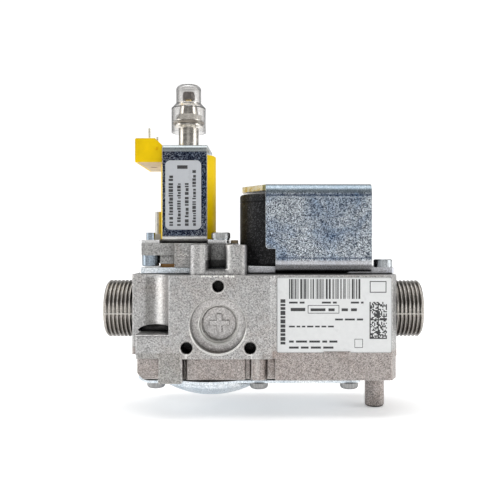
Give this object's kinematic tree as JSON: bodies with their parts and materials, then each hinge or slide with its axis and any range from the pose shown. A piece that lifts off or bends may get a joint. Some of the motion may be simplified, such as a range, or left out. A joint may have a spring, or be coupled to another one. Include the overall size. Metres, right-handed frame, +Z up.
{
  "type": "gas valve",
  "caption": "Die-cast boiler gas valve with in-line threaded ports, a yoked twin solenoid coil, a servo diaphragm valve and a modulating regulator coil under a clear cap.",
  "frame": {"origin": "centre of the outlet port's face, on the gas axis (the outlet thread mount sits on this axis 1 mm inside the face)", "axes": "+X along the gas axis from the outlet port to the inlet port, +Z up towards the coils, -Y the front that carries the rating label"},
  "size_m": [0.145, 0.059, 0.1513],
  "materials": {
    "cast_body": "die-cast and lightly blasted, satin, with machined mouths",
    "cast_housing": "die-cast, brighter machined flange",
    "zinc_plate": "zinc-plated sheet, bluish satin",
    "zinc_yoke": "thick zinc-plated sheet with fine spangle",
    "zinc_bracket": "zinc-plated sheet with fine spangle",
    "zinc_screw": "zinc-plated, bluish",
    "steel": "turned",
    "black_steel": "blackened",
    "nickel": "nickel-plated, bright turned",
    "nickel_brass": "nickel-plated brass, satin",
    "spring_steel": "drawn wire",
    "brass": "turned",
    "copper": "enamelled wire",
    "tinned_pin": "tinned, slightly dull",
    "black_plastic": "fine grained, glass-filled",
    "yellow_plastic": "moulded, semi-gloss",
    "tan_plastic": "laminate",
    "black_rubber": "nitrile sheet",
    "orange_rubber": "orange-brown sealing sheet",
    "brown_rubber": "brown sealing ring",
    "clear_plastic": "clear moulded plastic",
    "label_white": null,
    "label_grey": null
  },
  "bodies": {
    "valve": {"bottom_cover": "zinc_plate", "bottom_cover_screws": "zinc_screw", "bracket_label": "label_grey", "coil_housing": "black_plastic", "coil_terminals": "brass", "cover_gasket": "black_rubber", "first_guide_tube": "steel", "first_valve_spring": "spring_steel", "inlet_strainer": "spring_steel", "left_clamp_screw": "zinc_screw", "main_diaphragm": "black_rubber", "main_seat_ring": "brass", "main_stem_guide": "brass", "main_valve_spring": "spring_steel", "modulator_bracket": "zinc_bracket", "modulator_coil": "yellow_plastic", "modulator_guide_tube": "nickel", "modulator_spring": "spring_steel", "modulator_winding": "copper", "mounting_plate": "zinc_plate", "mounting_screws": "zinc_screw", "rating_label": "label_white", "reference_nipple": "nickel_brass", "regulator_diaphragm": "black_rubber", "regulator_gasket": "orange_rubber", "regulator_housing": "cast_housing", "regulator_nozzle": "brass", "right_clamp_screw": "zinc_screw", "right_washer": "zinc_screw", "servo_guide_tube": "steel", "servo_spring": "spring_steel", "solenoid_cores": "steel", "solenoid_windings": "copper", "terminal_housing": "yellow_plastic", "terminal_insert": "tan_plastic", "terminal_pins": "tinned_pin", "top_gasket": "black_rubber", "valve_body": "cast_body", "vent_plug": "tan_plastic", "yoke_frame": "zinc_yoke", "yoke_screws": "zinc_screw"},
    "first_plunger": {"first_valve_plunger": "steel", "first_valve_holder": "brass", "first_valve_disc": "black_rubber"},
    "servo_plunger": {"servo_plunger": "steel", "servo_pad": "black_rubber"},
    "main_valve": {"main_valve_stem": "steel", "main_valve_disc": "black_rubber", "main_disc_backing": "steel", "main_diaphragm_plate": "zinc_plate"},
    "modulator_plunger": {"modulator_plunger": "steel", "push_rod": "steel"},
    "nut_travel": {"cap_seal_ring": "brown_rubber"},
    "maximum_nut": {"maximum_nut": "nickel"},
    "seat_travel": {"spring_seat": "brass"},
    "minimum_screw": {"minimum_screw": "brass", "minimum_screw_head": "black_steel"},
    "cap": {"clear_cap": "clear_plastic"},
    "tap_travel": {"tap_screw_tip": "brass"},
    "tap_screw": {"tap_screw": "brass"}
  },
  "joints": [
    {"name": "first_valve_lift", "type": "slide", "parent": "valve", "child": "first_plunger", "axis": [0, 0, 1], "range_m": [0, 0.0025], "stiffness_N_per_m": 400, "springref_m": -0.01, "deforming": ["first_valve_spring"]},
    {"name": "servo_valve_lift", "type": "slide", "parent": "valve", "child": "servo_plunger", "axis": [0, 0, 1], "range_m": [0, 0.0015], "stiffness_N_per_m": 150, "springref_m": -0.006, "deforming": ["servo_spring"]},
    {"name": "main_valve_lift", "type": "slide", "parent": "valve", "child": "main_valve", "axis": [0, 0, 1], "range_m": [0, 0.004], "stiffness_N_per_m": 250, "springref_m": -0.008, "deforming": ["main_valve_spring", "main_diaphragm"]},
    {"name": "modulator_lift", "type": "slide", "parent": "valve", "child": "modulator_plunger", "axis": [0, 0, 1], "range_m": [0, 0.001], "stiffness_N_per_m": 150, "springref_m": -0.004, "deforming": ["modulator_spring", "regulator_diaphragm"]},
    {"name": "maximum_travel", "type": "slide", "parent": "valve", "child": "nut_travel", "axis": [0, 0, 1], "range_m": [-0.00075, 0.00075]},
    {"name": "maximum_turn", "type": "hinge", "parent": "nut_travel", "child": "maximum_nut", "pos_m": [0.0367, 0.005, 0.0875], "axis": [0, 0, 1], "range_deg": [-361, 361]},
    {"name": "minimum_travel", "type": "slide", "parent": "maximum_nut", "child": "seat_travel", "axis": [0, 0, 1], "range_m": [-0.0005, 0.0005]},
    {"name": "minimum_turn", "type": "hinge", "parent": "seat_travel", "child": "minimum_screw", "pos_m": [0.0367, 0.005, 0.1004], "axis": [0, 0, 1], "range_deg": [-361, 361]},
    {"name": "cap_pull", "type": "slide", "parent": "valve", "child": "cap", "axis": [0, 0, 1], "range_m": [0, 0.025]},
    {"name": "tap_travel", "type": "slide", "parent": "valve", "child": "tap_travel", "axis": [0, 0, -1], "range_m": [0, 0.0008]},
    {"name": "tap_turn", "type": "hinge", "parent": "tap_travel", "child": "tap_screw", "pos_m": [0.1244, 0, -0.0415], "axis": [0, 0, -1], "range_deg": [0, 361]}
  ],
  "couplings": [
    {"joint": "maximum_turn", "follows": "maximum_travel", "rad_per_m": 8377.6},
    {"joint": "minimum_turn", "follows": "minimum_travel", "rad_per_m": 12566},
    {"joint": "tap_turn", "follows": "tap_travel", "rad_per_m": 7854}
  ]
}
